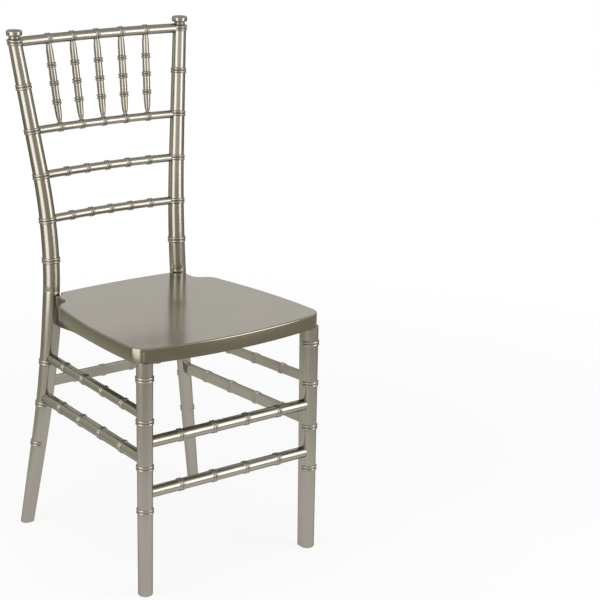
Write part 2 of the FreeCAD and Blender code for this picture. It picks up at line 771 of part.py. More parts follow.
def build():
    """Makes every piece and writes it"""
    os.makedirs("parts", exist_ok=True)
    posts = {"right": back_post()}
    legs = {"right": front_leg()}
    posts["left"] = mirrored(posts["right"])
    legs["left"] = mirrored(legs["right"])
    holes = {"left_post": [], "right_post": [], "left_leg": [], "right_leg": []}
    pieces = {}

    def cross_member(name, solid, height, end, support, radius, length):
        """A member between the two sides, with a tenon at each end"""
        size = post_radius(height) if support == "post" else front_leg_radius(height)
        right = tenon_at(end, Vector(1, 0, 0), size, radius, length, 2 * size)
        left = tenon_at(opposite(end), Vector(-1, 0, 0), size, radius, length, 2 * size)
        sides = posts if support == "post" else legs
        both = Part.makeCompound([sides["left"], sides["right"]])
        pieces[name] = joined(solid, both, [left, right])
        holes["left_" + support].append(mortise_for(left))
        holes["right_" + support].append(mortise_for(right))

    rails = {
        "crest_rail": (crest_rail_height, crest_rail_radius, crest_bow, crest_ring_spacing),
        "spindle_rail": (spindle_rail_height, spindle_rail_radius, spindle_rail_bow, spindle_rail_ring_spacing),
        "middle_rail": (middle_rail_height, middle_rail_radius, middle_rail_bow, middle_rail_ring_spacing),
        "lower_rail": (lower_rail_height, lower_rail_radius, lower_rail_bow, lower_rail_ring_spacing),
    }
    for name, (height, radius, bow, spacing) in rails.items():
        solid = bowed_rail(height, radius, bow, spacing)
        cross_member(name, solid, height, post_axis(height), "post", rail_tenon_radius, rail_tenon_length)

    front_back = Vector(0, -1, 0)
    for name, height in (("front_upper_stretcher", front_upper_height), ("front_lower_stretcher", front_lower_height)):
        end = front_leg_axis(height)
        places = even_positions(2 * end.x, stretcher_ring_count, front_ring_spacing)
        solid = stretcher(opposite(end), end, front_stretcher_radius, front_back, places)
        cross_member(name, solid, height, end, "leg", stretcher_tenon_radius, stretcher_tenon_length)

    end = post_axis(rear_height)
    places = even_positions(2 * end.x, stretcher_ring_count)
    solid = stretcher(opposite(end), end, rear_stretcher_radius, Vector(0, 1, 0), places)
    cross_member("rear_stretcher", solid, rear_height, end, "post", stretcher_tenon_radius, stretcher_tenon_length)

    sides = (("upper", side_upper_height, side_upper_radius), ("lower", side_lower_height, side_lower_radius))
    for level, height, radius in sides:
        front = front_leg_axis(height)
        rear = post_axis(height)
        along = (rear - front).normalize()
        outward = along.cross(TOP_VIEW).normalize()
        places = even_positions((rear - front).Length, stretcher_ring_count)
        solid = stretcher(front, rear, radius, outward, places)
        at_leg = tenon_at(front, along * -1, front_leg_radius(height), side_tenon_radius, side_tenon_length,
                          side_tenon_root)
        at_post = tenon_at(rear, along, post_radius(height), side_tenon_radius, side_tenon_length, side_tenon_root)
        both = Part.makeCompound([legs["right"], posts["right"]])
        piece = joined(solid, both, [at_leg, at_post])
        pieces["right_" + level + "_stretcher"] = piece
        pieces["left_" + level + "_stretcher"] = mirrored(piece)
        leg_hole = mortise_for(at_leg)
        post_hole = mortise_for(at_post)
        holes["right_leg"].append(leg_hole)
        holes["right_post"].append(post_hole)
        holes["left_leg"].append(mirrored(leg_hole))
        holes["left_post"].append(mirrored(post_hole))

    rail_holes = {"crest_rail": [], "spindle_rail": []}
    for index in range(rail_ring_count):
        solid, top, bottom, direction = spindle(index)
        up = tenon_at(top, direction * -1, crest_rail_radius, spindle_tenon_radius, spindle_tenon_length,
                      spindle_tenon_root, spindle_sides)
        down = tenon_at(bottom, direction, spindle_rail_radius, spindle_tenon_radius, spindle_tenon_length,
                        spindle_tenon_root, spindle_sides)
        both = Part.makeCompound([pieces["crest_rail"], pieces["spindle_rail"]])
        pieces["spindle_" + str(index + 1)] = joined(solid, both, [up, down])
        rail_holes["crest_rail"].append(mortise_for(up))
        rail_holes["spindle_rail"].append(mortise_for(down))
    for name, cuts in rail_holes.items():
        pieces[name] = pieces[name].cut(Part.makeCompound(cuts))

    front_rail = cross_frame_rail(front_frame_rail_y, side_frame_front_x)
    side_rail = side_frame_rail()
    rear_rail = cross_frame_rail(rear_frame_rail_y, side_frame_front_x)
    side_pair = Part.makeCompound([side_rail, mirrored(side_rail)])
    rear_rail = max(rear_rail.cut(side_pair).Solids, key=lambda solid: solid.Volume)
    shell = seat_shell()
    for place in both_sides(screw_places()):
        socket = pin(place, Vector(0, 0, -1), boss_radius + boss_clearance, boss_height + boss_clearance)
        shank = pin(place, Vector(0, 0, -1), screw_radius + boss_clearance, cross_frame_rail_height)
        hole = socket.fuse(shank)
        front_rail = front_rail.cut(hole)
        rear_rail = rear_rail.cut(hole)
    pieces["seat_shell"] = tilt_with_seat(shell)
    side_rail = tilt_with_seat(side_rail)
    both = Part.makeCompound([legs["right"], posts["right"]])
    side_rail = max(side_rail.cut(both).Solids, key=lambda solid: solid.Volume)
    pieces["right_seat_rail"] = side_rail
    pieces["left_seat_rail"] = mirrored(side_rail)
    front_rail = tilt_with_seat(front_rail)
    cutters = Part.makeCompound([legs["left"], legs["right"], side_rail, mirrored(side_rail)])
    pieces["front_seat_rail"] = max(front_rail.cut(cutters).Solids, key=lambda solid: solid.Volume)
    pieces["rear_seat_rail"] = tilt_with_seat(rear_rail)
    screws = [tilt_with_seat(seat_screw(place)) for place in both_sides(screw_places())]
    pieces["seat_screws"] = Part.makeCompound(screws)

    for side in ("left", "right"):
        pieces[side + "_back_post"] = posts[side].cut(Part.makeCompound(holes[side + "_post"]))
        pieces[side + "_front_leg"] = legs[side].cut(Part.makeCompound(holes[side + "_leg"]))
    for name in sorted(pieces):
        save(name, pieces[name])


build()
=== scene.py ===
import math
from collections import namedtuple

import bmesh
import bpy
from mathutils import Matrix, Vector


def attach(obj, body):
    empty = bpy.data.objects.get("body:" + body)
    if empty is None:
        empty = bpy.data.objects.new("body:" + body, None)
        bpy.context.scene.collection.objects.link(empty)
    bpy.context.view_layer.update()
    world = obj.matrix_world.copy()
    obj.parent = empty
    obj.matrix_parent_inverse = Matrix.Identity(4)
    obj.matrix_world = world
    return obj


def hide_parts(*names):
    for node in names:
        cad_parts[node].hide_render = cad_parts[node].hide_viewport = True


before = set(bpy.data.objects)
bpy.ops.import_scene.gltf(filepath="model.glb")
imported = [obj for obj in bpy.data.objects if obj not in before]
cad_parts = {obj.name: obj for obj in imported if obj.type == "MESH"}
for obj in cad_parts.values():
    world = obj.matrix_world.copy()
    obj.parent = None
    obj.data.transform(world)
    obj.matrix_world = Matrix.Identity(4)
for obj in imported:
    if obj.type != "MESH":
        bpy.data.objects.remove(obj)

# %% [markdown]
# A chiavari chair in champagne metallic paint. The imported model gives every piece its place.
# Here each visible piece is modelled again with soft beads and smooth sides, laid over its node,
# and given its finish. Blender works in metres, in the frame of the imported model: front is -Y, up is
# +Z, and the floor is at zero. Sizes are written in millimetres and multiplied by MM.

MM = 0.001
RIGHTWARDS = Vector((1, 0, 0))
BACKWARDS = Vector((0, 1, 0))
UPWARDS = Vector((0, 0, 1))
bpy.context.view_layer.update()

# %% [markdown]
# The back post is one bent bar. Its axis is three straight runs joined by two long bends, so a point
# on it comes from a short formula: start at the foot, follow the slope, and change the slope evenly
# over each bend. A traced curve would do as well, but the formula gives the exact place of each ring.
# The sizes are written once here, for the right-hand side. MID_DEPTH is how far forward the packed
# model was moved to have its middle at the origin.

# %% The line of the back post
MID_DEPTH = 2.075 * MM
FOOT = Vector((188.5, 191.0, 0.0)) * MM
LOWER_BEND = Vector((142.0, 165.0, 335.0)) * MM
UPPER_BEND = Vector((132.0, 168.5, 553.0)) * MM
TOP_RING = Vector((173.0, 213.8, 897.0)) * MM
LOWER_BEND_HALF = 175 * MM
UPPER_BEND_HALF = 117 * MM
POST_RADII = ((0, 10.7), (120, 12.0), (250, 13.1), (414, 15.3), (506, 15.2), (700, 13.7), (897, 12.4))
POST_RINGS = (157.5, 234.0, 314.5, 506.0, 579.7, 659.8, 740.6, 819.1, 897.0)

def slope(low, high):
    """Travel for each metre of height."""
    return (high - low) / (high.z - low.z)

def post_axis(z):
    """Centre of the right back post at a height."""
    low = slope(FOOT, LOWER_BEND)
    middle = slope(LOWER_BEND, UPPER_BEND)
    high = slope(UPPER_BEND, TOP_RING)
    point = FOOT + low * z
    lower = (LOWER_BEND.z, LOWER_BEND_HALF, middle - low)
    upper = (UPPER_BEND.z, UPPER_BEND_HALF, high - middle)
    for height, half, change in (lower, upper):
        past = z - (height - half)
        if past > 2 * half:
            point = point + change * (z - height)
        elif past > 0:
            point = point + change * (past * past / (4 * half))
    return Vector((point.x, point.y - MID_DEPTH, z))

def between(place, table):
    """Size at a place, from a table of places and sizes in millimetres with straight lines between."""
    for (low, first), (high, second) in zip(table, table[1:]):
        if place <= high * MM:
            return (first + (second - first) * (place / MM - low) / (high - low)) * MM
    return table[-1][1] * MM

print("middle of the post's lower bend", [round(v / MM, 1) for v in post_axis(LOWER_BEND.z)])

# %% [markdown]
# Every turned piece is a bar with pairs of small round beads. A bead's outline is half an ellipse, so
# its points come from a sine. Two of them side by side leave the fine groove that this chair shows.
# They are real shape and not a bump in the paint, because they break the outline of every bar.

# %% Outline of a pair of beads
BEAD_POINTS = 6

def bead_pair(pitch, half_width, height):
    """Distances along the bar and heights above it, for two beads side by side."""
    points = []
    for centre in (-pitch / 2, pitch / 2):
        for step in range(BEAD_POINTS + 1):
            angle = math.pi * step / BEAD_POINTS
            points.append((centre - half_width * math.cos(angle), height * math.sin(angle)))
    return points

POST_BEAD = bead_pair(5.2 * MM, 2.45 * MM, 1.75 * MM)
print("a pair of beads has", len(POST_BEAD), "points")

# %% [markdown]
# A bar starts as a filled circle. Its section is shaped before it is extruded, while it still has few
# points: a leg has one square corner that looks into the chair, and a stretcher is flat inside. The
# points to move are picked by their place. Scaling them to nothing along one axis, about a point on
# the wanted line, lays them flat on that line, as a modeller does by hand with S, X, 0.

# %% Shape of the section
NEAR = 0.02
CORNER_ROUND = 1.3 * MM
FLAT_EDGE_FROM = 0.97
FLAT_EDGE_ROUND = 0.9 * MM

def pick(test):
    """Selects the points of the mesh in edit mode that pass a test."""
    mesh = bmesh.from_edit_mesh(bpy.context.object.data)
    bpy.ops.mesh.select_all(action="DESELECT")
    for vert in mesh.verts:
        vert.select = test(vert.co)
    mesh.select_flush(True)
    bmesh.update_edit_mesh(bpy.context.object.data)

def start_bar(sides, radius):
    """Adds a filled circle round the origin and leaves it in edit mode."""
    bpy.ops.object.select_all(action="DESELECT")
    bpy.ops.mesh.primitive_circle_add(vertices=sides, radius=radius, fill_type="NGON", location=(0, 0, 0))
    bpy.ops.object.mode_set(mode="EDIT")

def square_corner(radius, inward):
    """Draws the quarter of the section that looks inwards out to a square corner."""
    edge = radius * NEAR
    diagonal = radius * math.sqrt(0.5)
    corner = Vector((inward[0] * radius, inward[1] * radius, 0))

    def in_quarter(co):
        return co.x * inward[0] > edge and co.y * inward[1] > edge

    pick(lambda co: in_quarter(co) and abs(co.x) > abs(co.y) - edge)
    bpy.ops.transform.resize(value=(0, 1, 1), center_override=(corner.x, 0, 0))
    pick(lambda co: in_quarter(co) and (abs(co.x) < abs(co.y) + edge or abs(abs(co.y) - diagonal) < edge))
    bpy.ops.transform.resize(value=(1, 0, 1), center_override=(0, corner.y, 0))
    pick(lambda co: (co - corner).length < edge)
    bpy.ops.mesh.bevel(offset=CORNER_ROUND, segments=3, affect="VERTICES")

def flat_inside(radius, depth, sides):
    """Makes the half of the section with x below zero flat, at a depth behind the axis."""
    stretch = 1 / math.cos(2 * math.pi / sides)
    pick(lambda co: co.x < -radius * NEAR)
    bpy.ops.transform.resize(value=(0, stretch, 1), center_override=(-depth, 0, 0))
    pick(lambda co: co.x < -radius * NEAR and abs(co.y) > radius * FLAT_EDGE_FROM)
    bpy.ops.mesh.bevel(offset=FLAT_EDGE_ROUND, segments=2, affect="VERTICES")

print("a square corner is rounded by", round(CORNER_ROUND / MM, 1), "mm")

# %% [markdown]
# The section is extruded from one station to the next, moved, turned and scaled each time, which
# follows a bent axis as well as a straight one. A curve with a bevel would be quicker, but couldn't
# carry the beads. A station says where the section goes: its centre, how far it leans about x and y,
# its radius, and how high a bead stands there. On a leg the beads run only round the outside, so the
# points on the square corner are left out when the section grows.

# %% Extrude a bar through its stations
CORNER_SHARE = 0.05
SAME_LEAN = 1e-7
SAME_RADIUS = 1e-9
SAME_SIZE = 1e-6

def grow(centre, factor, inward):
    """Scales the selected section, without the points on the square corner if there is one."""
    if inward is None:
        bpy.ops.transform.resize(value=(factor,) * 3, center_override=centre)
        return
    mesh = bmesh.from_edit_mesh(bpy.context.object.data)
    ring = [vert for vert in mesh.verts if vert.select]
    inner = CORNER_SHARE * max((vert.co - centre).length for vert in ring)
    for vert in ring:
        offset = vert.co - centre
        if offset.x * inward[0] > inner and offset.y * inward[1] > inner:
            vert.select = False
    mesh.select_flush_mode()
    mesh.verts.ensure_lookup_table()
    numbers = [vert.index for vert in ring]
    bpy.ops.transform.resize(value=(factor,) * 3, center_override=centre)
    mesh = bmesh.from_edit_mesh(bpy.context.object.data)
    mesh.verts.ensure_lookup_table()
    for number in numbers:
        mesh.verts[number].select = True
    mesh.select_flush(True)

def turn_section(centre, lean_x, lean_y):
    """Leans the section about its own centre. With no window the operator turns the other way."""
    for axis, lean in (("X", lean_x), ("Y", lean_y)):
        if abs(lean) > SAME_LEAN:
            bpy.ops.transform.rotate(
                value=-lean, orient_axis=axis, orient_type="GLOBAL", center_override=centre
            )

def move_extruded(travel):
    """Extrudes what is selected by a travel."""
    move = {"value": travel, "orient_type": "GLOBAL"}
    bpy.ops.mesh.extrude_region_move(TRANSFORM_OT_translate=move)

def extrude_bar(stations, inward=None):
    """Takes the section in edit mode, drawn at the first station's radius, through all the stations."""
    bpy.ops.mesh.select_all(action="SELECT")
    centre, lean_x, lean_y, radius, bead = stations[0]
    bpy.ops.transform.translate(value=centre)
    turn_section(centre, lean_x, lean_y)
    for new_centre, new_x, new_y, new_radius, new_bead in stations[1:]:
        move_extruded(new_centre - centre)
        turn_section(new_centre, new_x - lean_x, new_y - lean_y)
        if abs(new_radius - radius) > SAME_RADIUS:
            bpy.ops.transform.resize(value=(new_radius / radius,) * 3, center_override=new_centre)
        factor = (1 + new_bead / new_radius) / (1 + bead / radius)
        if abs(factor - 1) > SAME_SIZE:
            grow(new_centre, factor, inward)
        centre, lean_x, lean_y, radius, bead = new_centre, new_x, new_y, new_radius, new_bead

def ring_stations(ring_heights, bead_profile, station):
    """Stations of all the rings of a bar."""
    return [station(ring + along, bead) for ring in ring_heights for along, bead in bead_profile]

print("each ring takes", len(POST_BEAD), "stations")

# %% [markdown]
# A bar leaves edit mode with its faces outwards, and is shaded smooth up to an angle, so that the
# square corner stays crisp. A rail or a spindle is modelled upright and then laid in its place, which
# is applied to the mesh, so that every object stays at the origin and its paint doesn't slide. The
# left side is a mirrored copy with its own mesh, and mirroring turns its faces, so they are turned
# back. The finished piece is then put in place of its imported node.

# %% Finish, place, mirror and keep a piece
pieces = {}

def finish_bar(name, smooth_angle=50):
    """Leaves edit mode with the faces outwards and smooth, and names the bar."""
    bpy.ops.mesh.select_all(action="SELECT")
    bpy.ops.mesh.normals_make_consistent(inside=False)
    bpy.ops.object.mode_set(mode="OBJECT")
    bar = bpy.context.object
    bar.name = name
    bar.data.name = name
    bpy.ops.object.shade_smooth_by_angle(angle=math.radians(smooth_angle))
    return bar

def activate(piece):
    """Selects one piece alone and makes it the active one."""
    bpy.ops.object.select_all(action="DESELECT")
    piece.select_set(True)
    bpy.context.view_layer.objects.active = piece

def lay_along(bar, side, up, along, start):
    """Moves a bar modelled up the z axis to its place and applies it to the mesh."""
    bar.matrix_world = Matrix.Translation(start) @ Matrix((side, up, along)).transposed().to_4x4()
    activate(bar)
    bpy.ops.object.transform_apply(location=True, rotation=True, scale=True)
    return bar

def mirror_copy(bar, name):
    """Makes the same piece for the other side of the chair, with its own mesh."""
    other = bar.copy()
    other.data = bar.data.copy()
    other.name = name
    other.data.name = name
    bpy.context.scene.collection.objects.link(other)
    activate(other)
    bpy.ops.object.mode_set(mode="EDIT")
    bpy.ops.mesh.select_all(action="SELECT")
    bpy.ops.transform.resize(value=(-1, 1, 1), center_override=(0, 0, 0))
    bpy.ops.mesh.normals_make_consistent(inside=False)
    bpy.ops.object.mode_set(mode="OBJECT")
    return other

def keep(bar, nodes):
    """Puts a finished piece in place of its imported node."""
    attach(bar, "root")
    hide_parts(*nodes)
    pieces[bar.name] = bar
    print(bar.name, len(bar.data.vertices), "points")

print("pieces kept so far", len(pieces))

# %% [markdown]
# The back post is bent wood or its moulded copy: thickest at the seat, tapered up and down, with nine
# pairs of beads. Its foot stands flat on the floor and has a round edge. Below the seat it has the
# square inner corner that the stretchers meet. It is made as two bars, because the section changes,
# and the joint between them lies just under the seat.

# %% Back post below the seat
POST_SIDES = 40
CORNER_TOP = 414 * MM
LOWER_SECTIONS = (60, 110, 200, 275, 355, 385)
POST_INWARD = (-1, -1)
TOP_RING_HALF = 5.2 * MM
UPRIGHT_FROM = TOP_RING.z - TOP_RING_HALF
FOOT_ROUND = 3 * MM
FOOT_TURNS = [math.radians(angle) for angle in (0, 22.5, 45, 67.5, 90)]
FOOT_EDGE = [(FOOT_ROUND * (1 - math.cos(turn)), FOOT_ROUND * (1 - math.sin(turn))) for turn in FOOT_TURNS]

def post_station(z, bead=0.0):
    """Station on the right back post, leaning with its axis up to the top ring."""
    step = 0.5 * MM
    way = post_axis(z + step) - post_axis(z - step)
    upright = z >= UPRIGHT_FROM
    lean_x = 0 if upright else math.atan2(-way.y, way.z)
    lean_y = 0 if upright else math.atan2(way.x, way.z)
    return (post_axis(z), lean_x, lean_y, between(z, POST_RADII), bead)

def lower_post():
    """The post from the floor to just under the seat."""
    rings = [z * MM for z in POST_RINGS if z * MM < CORNER_TOP]
    stations = ring_stations(rings, POST_BEAD, post_station)
    stations += [post_station(z * MM) for z in LOWER_SECTIONS] + [post_station(CORNER_TOP)]
    stations.sort(key=lambda item: item[0].z)
    foot_radius = between(0, POST_RADII)
    foot = [(post_axis(rise), 0, 0, foot_radius - inset, 0) for rise, inset in FOOT_EDGE]
    start_bar(POST_SIDES, foot[0][3])
    square_corner(foot[0][3], POST_INWARD)
    extrude_bar(foot + stations, inward=POST_INWARD)
    return finish_bar("lower_post")

lower_bar = lower_post()
print("post below the seat", len(lower_bar.data.vertices), "points")

# %% [markdown]
# Above its top ring the post ends in a finial: a neck with one bead, and a flattened cap with round
# edges. The post leans, but its top ring and cap were turned upright, so the lean stops there. The
# outline is given as heights above the top ring and radii, with the round parts as arcs, and goes on
# as more stations of the same bar, so that no seam shows.

# %% Finial
NECK_RADIUS = 9.4
NECK_START = ((5.5, 10.2), (5.8, 9.6))
NECK_BEAD_RISE = 7.2
NECK_BEAD_HALF_WIDTH = 1.3
NECK_BEAD_TURNS = (-1.3, -0.7, 0, 0.7, 1.3)
NECK_END = ((9.2, NECK_RADIUS), (10.3, NECK_RADIUS + 0.2))
CAP_EDGE = 3.0
CAP_FLAT_RADIUS = 11.2
CAP_LOW = 11.0
CAP_HIGH = 18.1
CAP_TOP = ((21.45, 8.6), (21.75, 5.6), (21.9, 2.4), (21.95, 0.8))

def finial_stations():
    """Stations of the neck and the cap, upright above the top ring."""
    outline = list(NECK_START)
    for turn in NECK_BEAD_TURNS:
        rise = NECK_BEAD_RISE + NECK_BEAD_HALF_WIDTH * math.sin(turn)
        outline.append((rise, NECK_RADIUS + math.cos(turn)))
    outline += NECK_END
    turns = [math.radians(angle) for angle in (0, 18, 36, 54, 72, 90)]
    for turn in turns:
        rise = CAP_LOW + CAP_EDGE * (1 - math.cos(turn))
        outline.append((rise, CAP_FLAT_RADIUS + CAP_EDGE * math.sin(turn)))
    for turn in turns:
        rise = CAP_HIGH + CAP_EDGE * math.sin(turn)
        outline.append((rise, CAP_FLAT_RADIUS + CAP_EDGE * math.cos(turn)))
    outline += CAP_TOP
    centre = post_axis(TOP_RING.z + TOP_RING_HALF)
    stations = []
    for rise, size in outline:
        place = Vector((centre.x, centre.y, TOP_RING.z + rise * MM))
        stations.append((place, 0, 0, size * MM, 0))
    return stations

print("top of the finial", round(finial_stations()[-1][0].z / MM, 2), "mm")

# %% [markdown]
# The rest of the post is round all over. Just above the seat the real one shows a faint mould line,
# which is a shallow groove here. The two bars are joined into one piece, which stays two closed
# shells, one a little way into the other.

# %% Back post above the seat
UPPER_SECTIONS = (417, 430, 445, 462, 478, 530, 555, 600, 620, 640, 700, 780, 860)
MOULD_LINE_Z = 450 * MM
MOULD_LINE = ((-0.6, 0), (-0.2, -0.12), (0.2, -0.12), (0.6, 0))
SHELL_OVERLAP = 2 * MM

def upper_post():
    """The post from under the seat to the finial."""
    rings = [z * MM for z in POST_RINGS if z * MM > CORNER_TOP]
    stations = ring_stations(rings, POST_BEAD, post_station)
    stations += [post_station(z * MM) for z in UPPER_SECTIONS]
    stations += [post_station(MOULD_LINE_Z + along * MM, depth * MM) for along, depth in MOULD_LINE]
    stations.sort(key=lambda item: item[0].z)
    stations.insert(0, post_station(CORNER_TOP - SHELL_OVERLAP))
    stations += finial_stations()
    start_bar(POST_SIDES, stations[0][3])
    extrude_bar(stations)
    return finish_bar("upper_post")

def join(first, second, name):
    """Joins two separate shells into one piece."""
    activate(first)
    second.select_set(True)
    bpy.ops.object.join()
    first.name = name
    first.data.name = name
    return first

right_post = join(lower_bar, upper_post(), "right_post_turned")
left_post = mirror_copy(right_post, "left_post_turned")
keep(right_post, ["right_back_post"])
keep(left_post, ["left_back_post"])

# %% [markdown]
# The front leg is turned like the post but straight, with four pairs of beads, so it is one bar with
# the square corner all the way up. Its head goes up into the seat as a thinner spigot, and nothing of
# it shows above the skirt.

# %% Front legs
LEG_FOOT = Vector((174.9 * MM, -200 * MM - MID_DEPTH, 0))
LEG_TOP_X = 173.3 * MM
SEAT_FRONT_Z = 447.3 * MM
LEG_RADII = ((0, 12.9), (447.3, 14.45))
LEG_RINGS = (156.1, 234.7, 316.5, 392.2)
LEG_SECTIONS = (70, 120, 195, 275, 355)
LEG_INWARD = (-1, 1)
LEG_SHOULDER = 422.5 * MM
SPIGOT_START = 423.5 * MM
SPIGOT_END = 441.5 * MM
SPIGOT_RADIUS = 10.5 * MM

def leg_axis(z):
    """Centre of the right front leg at a height."""
    return Vector((LEG_FOOT.x + (LEG_TOP_X - LEG_FOOT.x) * z / SEAT_FRONT_Z, LEG_FOOT.y, z))

def leg_station(z, bead=0.0, radius=None):
    """Station on the right front leg."""
    return (leg_axis(z), 0, 0, radius or between(z, LEG_RADII), bead)

def front_leg():
    """The whole right front leg."""
    foot_radius = between(0, LEG_RADII)
    stations = [leg_station(rise, 0, foot_radius - inset) for rise, inset in FOOT_EDGE]
    stations += ring_stations([z * MM for z in LEG_RINGS], POST_BEAD, leg_station)
    stations += [leg_station(z * MM) for z in LEG_SECTIONS]
    stations.append(leg_station(LEG_SHOULDER))
    stations.append(leg_station(SPIGOT_START, 0, SPIGOT_RADIUS))
    stations.append(leg_station(SPIGOT_END, 0, SPIGOT_RADIUS))
    stations.sort(key=lambda item: item[0].z)
    start_bar(POST_SIDES, stations[0][3])
    square_corner(stations[0][3], LEG_INWARD)
    extrude_bar(stations, inward=LEG_INWARD)
    return finish_bar("right_leg_turned")

right_leg = front_leg()
left_leg = mirror_copy(right_leg, "left_leg_turned")
keep(right_leg, ["right_front_leg"])
keep(left_leg, ["left_front_leg"])

# %% [markdown]
# The four rails of the back are round and bow backwards, as steam-bent rails do. Each is modelled
# upright, with the bow along x, and then laid along the chair's width. The centre of each section lies
# on the arc of the bow and leans with it, so the beads stay square to the rail.

# %% Back rails
Rail = namedtuple("Rail", "height radius spacing bow")
RAIL_SIZES = {
    "crest_rail": (896.6, 8.7, 51.1, 12.4),
    "spindle_rail": (740.1, 7.25, 46.4, 11.0),
    "middle_rail": (660.0, 7.4, 43.6, 11.0),
    "lower_rail": (580.1, 7.4, 42.1, 10.0),
}
RAILS = {name: Rail(*(size * MM for size in sizes)) for name, sizes in RAIL_SIZES.items()}
RAIL_SIDES = 28
RAIL_BEAD = bead_pair(5.0 * MM, 2.3 * MM, 1.75 * MM)
RAIL_RINGS = 5
RAIL_END = 4 * MM
RAIL_HALF_STEPS = 12
CLEAR_OF_RING = 6 * MM

def bow_at(x, rail):
    """How far the rail's axis lies behind its ends, and its lean there."""
    half = post_axis(rail.height).x
    bend = (half ** 2 + rail.bow ** 2) / (2 * rail.bow)
    depth = rail.bow - bend + math.sqrt(bend ** 2 - x ** 2)
    return depth, math.asin(x / bend)

def back_rail(name, rail):
    """One bowed rail with its five rings."""
    half = post_axis(rail.height).x - RAIL_END
    places = [(x * half / RAIL_HALF_STEPS, 0) for x in range(-RAIL_HALF_STEPS, RAIL_HALF_STEPS + 1)]
    for ring in range(RAIL_RINGS):
        x = (ring - (RAIL_RINGS - 1) / 2) * rail.spacing
        places = [place for place in places if abs(place[0] - x) > CLEAR_OF_RING]
        places += [(x + along, bead) for along, bead in RAIL_BEAD]
    stations = []
    for x, bead in sorted(places):
        depth, lean = bow_at(x, rail)
        stations.append((Vector((depth, 0, x)), 0, -lean, rail.radius, bead))
    start_bar(RAIL_SIDES, rail.radius)
    extrude_bar(stations)
    bar = finish_bar(name + "_turned")
    ends = Vector((0, post_axis(rail.height).y, rail.height))
    return lay_along(bar, BACKWARDS, UPWARDS, RIGHTWARDS, ends)

for rail_name, rail in RAILS.items():
    keep(back_rail(rail_name, rail), [rail_name])

# %% [markdown]
# The spindles are the fine turned sticks between the two upper rails. They are thin at both ends,
# where they go into the rails, and swell between three pairs of beads. One outline serves all five.
# The back is wider at the top, so the spindles fan out and differ in length. That is why each is
# extruded for itself between its own two rings on the rails, and isn't a copy.

# %% Spindles
SPINDLE_SIDES = 24
SPINDLE_BEAD = bead_pair(4.6 * MM, 2.1 * MM, 2.2 * MM)
SPINDLE_RINGS = (850.4, 817.6, 784.5)
SPINDLE_FOOT = ((3, 3.0), (9, 3.2), (13, 4.4), (18, 5.2), (28, 6.0))
SPINDLE_HEAD = ((22, 6.3), (16, 5.8), (11, 5.0), (3, 4.8))
BESIDE_RING = 6
AT_RING = 5

def rail_point(x, rail):
    """Point on a rail's axis."""
    return Vector((x, post_axis(rail.height).y + bow_at(x, rail)[0], rail.height))

def spindle_swell(rings, length):
    """Radii along a spindle in millimetres, from its foot to its head."""
    first, second, third = rings
    swell = [*SPINDLE_FOOT, (first - BESIDE_RING, 6.3), (first, 6.3), ((first + second) / 2, 6.6)]
    swell += [(second, 6.4), ((second + third) / 2, 6.6), (third, 6.3), (third + BESIDE_RING, 6.4)]
    return swell + [(length - from_end, size) for from_end, size in SPINDLE_HEAD]

def spindle(number):
    """One spindle, from the spindle rail up to the crest rail."""
    offset = number - (RAIL_RINGS - 1) / 2
    low = rail_point(offset * RAILS["spindle_rail"].spacing, RAILS["spindle_rail"])
    high = rail_point(offset * RAILS["crest_rail"].spacing, RAILS["crest_rail"])
    length = (high - low).length
    stretch = length / (high.z - low.z)
    rings = sorted((z - low.z / MM) * stretch for z in SPINDLE_RINGS)
    swell = spindle_swell(rings, length / MM)
    plain = [place for place, size in swell if min(abs(place - ring) for ring in rings) > AT_RING]
    places = [(place * MM, 0) for place in plain]
    places += [(ring * MM + along, bead) for ring in rings for along, bead in SPINDLE_BEAD]
    stations = []
    for place, bead in sorted(places):
        stations.append((Vector((0, 0, place)), 0, 0, between(place, swell), bead))
    start_bar(SPINDLE_SIDES, stations[0][3])
    extrude_bar(stations)
    bar = finish_bar("spindle_%d_turned" % (number + 1))
    along = (high - low).normalized()
    side = BACKWARDS.cross(along).normalized()
    return lay_along(bar, side, along.cross(side), along, low)

for index in range(RAIL_RINGS):
    keep(spindle(index), ["spindle_%d" % (index + 1)])

# %% [markdown]
# The stretchers tie the legs together. They are half round outside and flat inside, flush with the
# legs' inner faces, and their beads run over the top, the outside and the underside. All seven come
# from one function, and the two on the left are mirrored.

# %% Stretchers
STRETCHER_SIDES = 28
STRETCHER_BEAD = bead_pair(5.4 * MM, 2.5 * MM, 1.5 * MM)
FLAT_DEPTH = 6.5 * MM
STRETCHER_RINGS = 4
STRETCHER_END = 5 * MM
FRONT_HEIGHTS = {"front_upper_stretcher": 276.8 * MM, "front_lower_stretcher": 186.2 * MM}
FRONT_RADIUS = 9.3 * MM
FRONT_SPACING = 68.6 * MM
REAR_HEIGHT = 276 * MM
REAR_RADIUS = 9.2 * MM
SIDE_LEVELS = {"upper": (325.2, 323.2, 7.9), "lower": (246.8, 246.8, 9.7)}

def stretcher(name, start, end, radius, outward, spacing=None):
    """One stretcher between two axes."""
    length = (end - start).length
    gap = spacing or length / (STRETCHER_RINGS + 1)
    rings = [length / 2 + (ring - (STRETCHER_RINGS - 1) / 2) * gap for ring in range(STRETCHER_RINGS)]
    places = [(STRETCHER_END, 0), (length - STRETCHER_END, 0)]
    places += [(ring + along, bead) for ring in rings for along, bead in STRETCHER_BEAD]
    stations = [(Vector((0, 0, place)), 0, 0, radius, bead) for place, bead in sorted(places)]
    start_bar(STRETCHER_SIDES, radius)
    flat_inside(radius, FLAT_DEPTH, STRETCHER_SIDES)
    extrude_bar(stations)
    bar = finish_bar(name + "_turned", smooth_angle=40)
    along = (end - start).normalized()
    side = (outward - along * outward.dot(along)).normalized()
    return lay_along(bar, side, along.cross(side), along, start)

